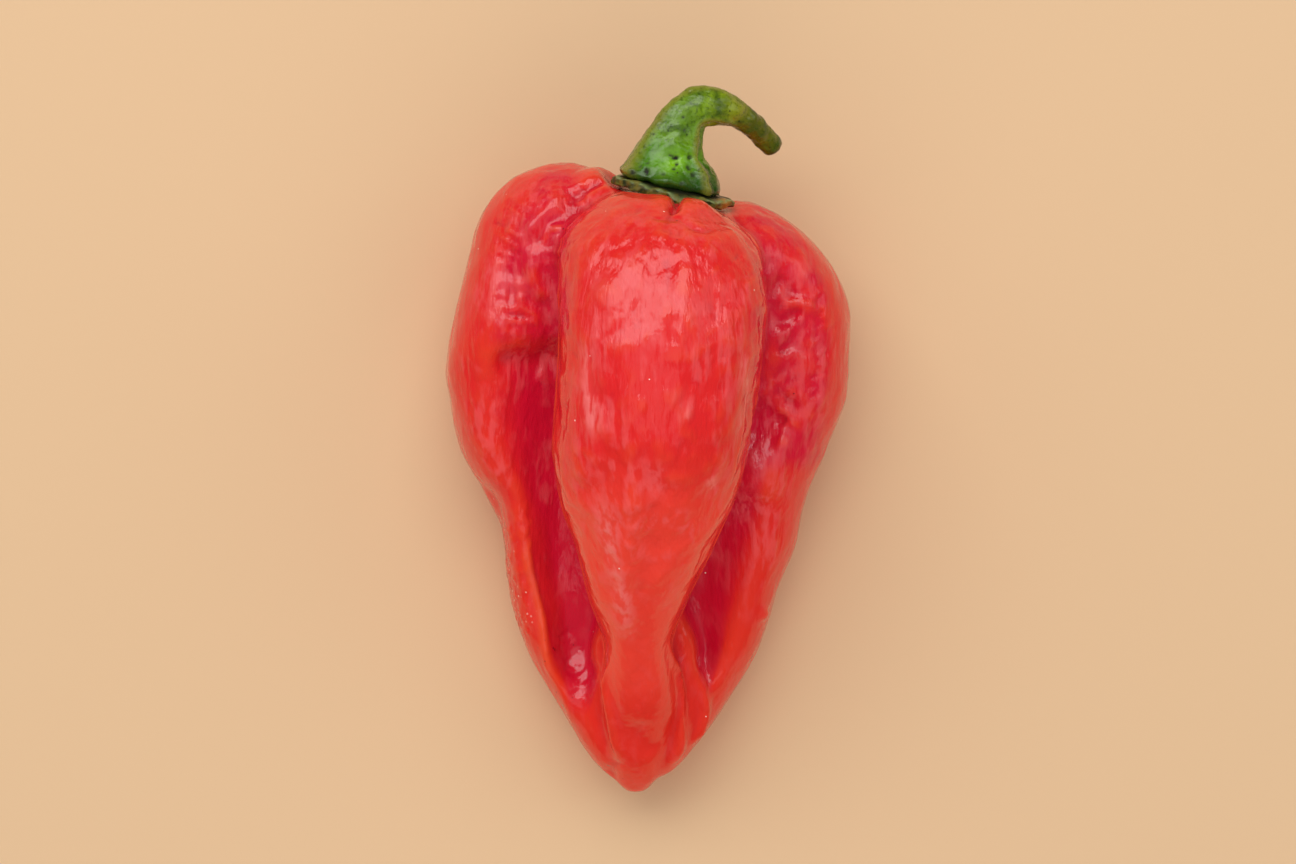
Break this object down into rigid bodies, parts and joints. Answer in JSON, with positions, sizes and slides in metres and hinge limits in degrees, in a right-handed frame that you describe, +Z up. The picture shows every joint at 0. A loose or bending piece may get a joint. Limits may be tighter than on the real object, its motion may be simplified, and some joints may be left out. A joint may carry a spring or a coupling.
{
  "type": "chilli pepper",
  "caption": "Ripe red lantern-shaped chilli pepper with deep lobes, picked with its curled green stalk and lying on its side.",
  "frame": {"origin": "on the surface that the pepper lies on, under the middle of its outline", "axes": "+Z up from the surface, +Y from the tip of the pod towards its stalk, +X across the pod to the right when looked at from above with the stalk away from the viewer"},
  "size_m": [0.0374, 0.0643, 0.0309],
  "materials": {
    "pod_skin": "waxy satin-gloss ripe red skin, crimson in the furrows, orange-red on the ridges",
    "calyx_rim": "dull olive green, drying to amber at the rim",
    "stalk": "satin ribbed green, brighter at the foot and olive towards the cut end"
  },
  "bodies": {
    "root": {"pod": "pod_skin", "calyx": "calyx_rim", "stem": "stalk"}
  },
  "joints": []
}
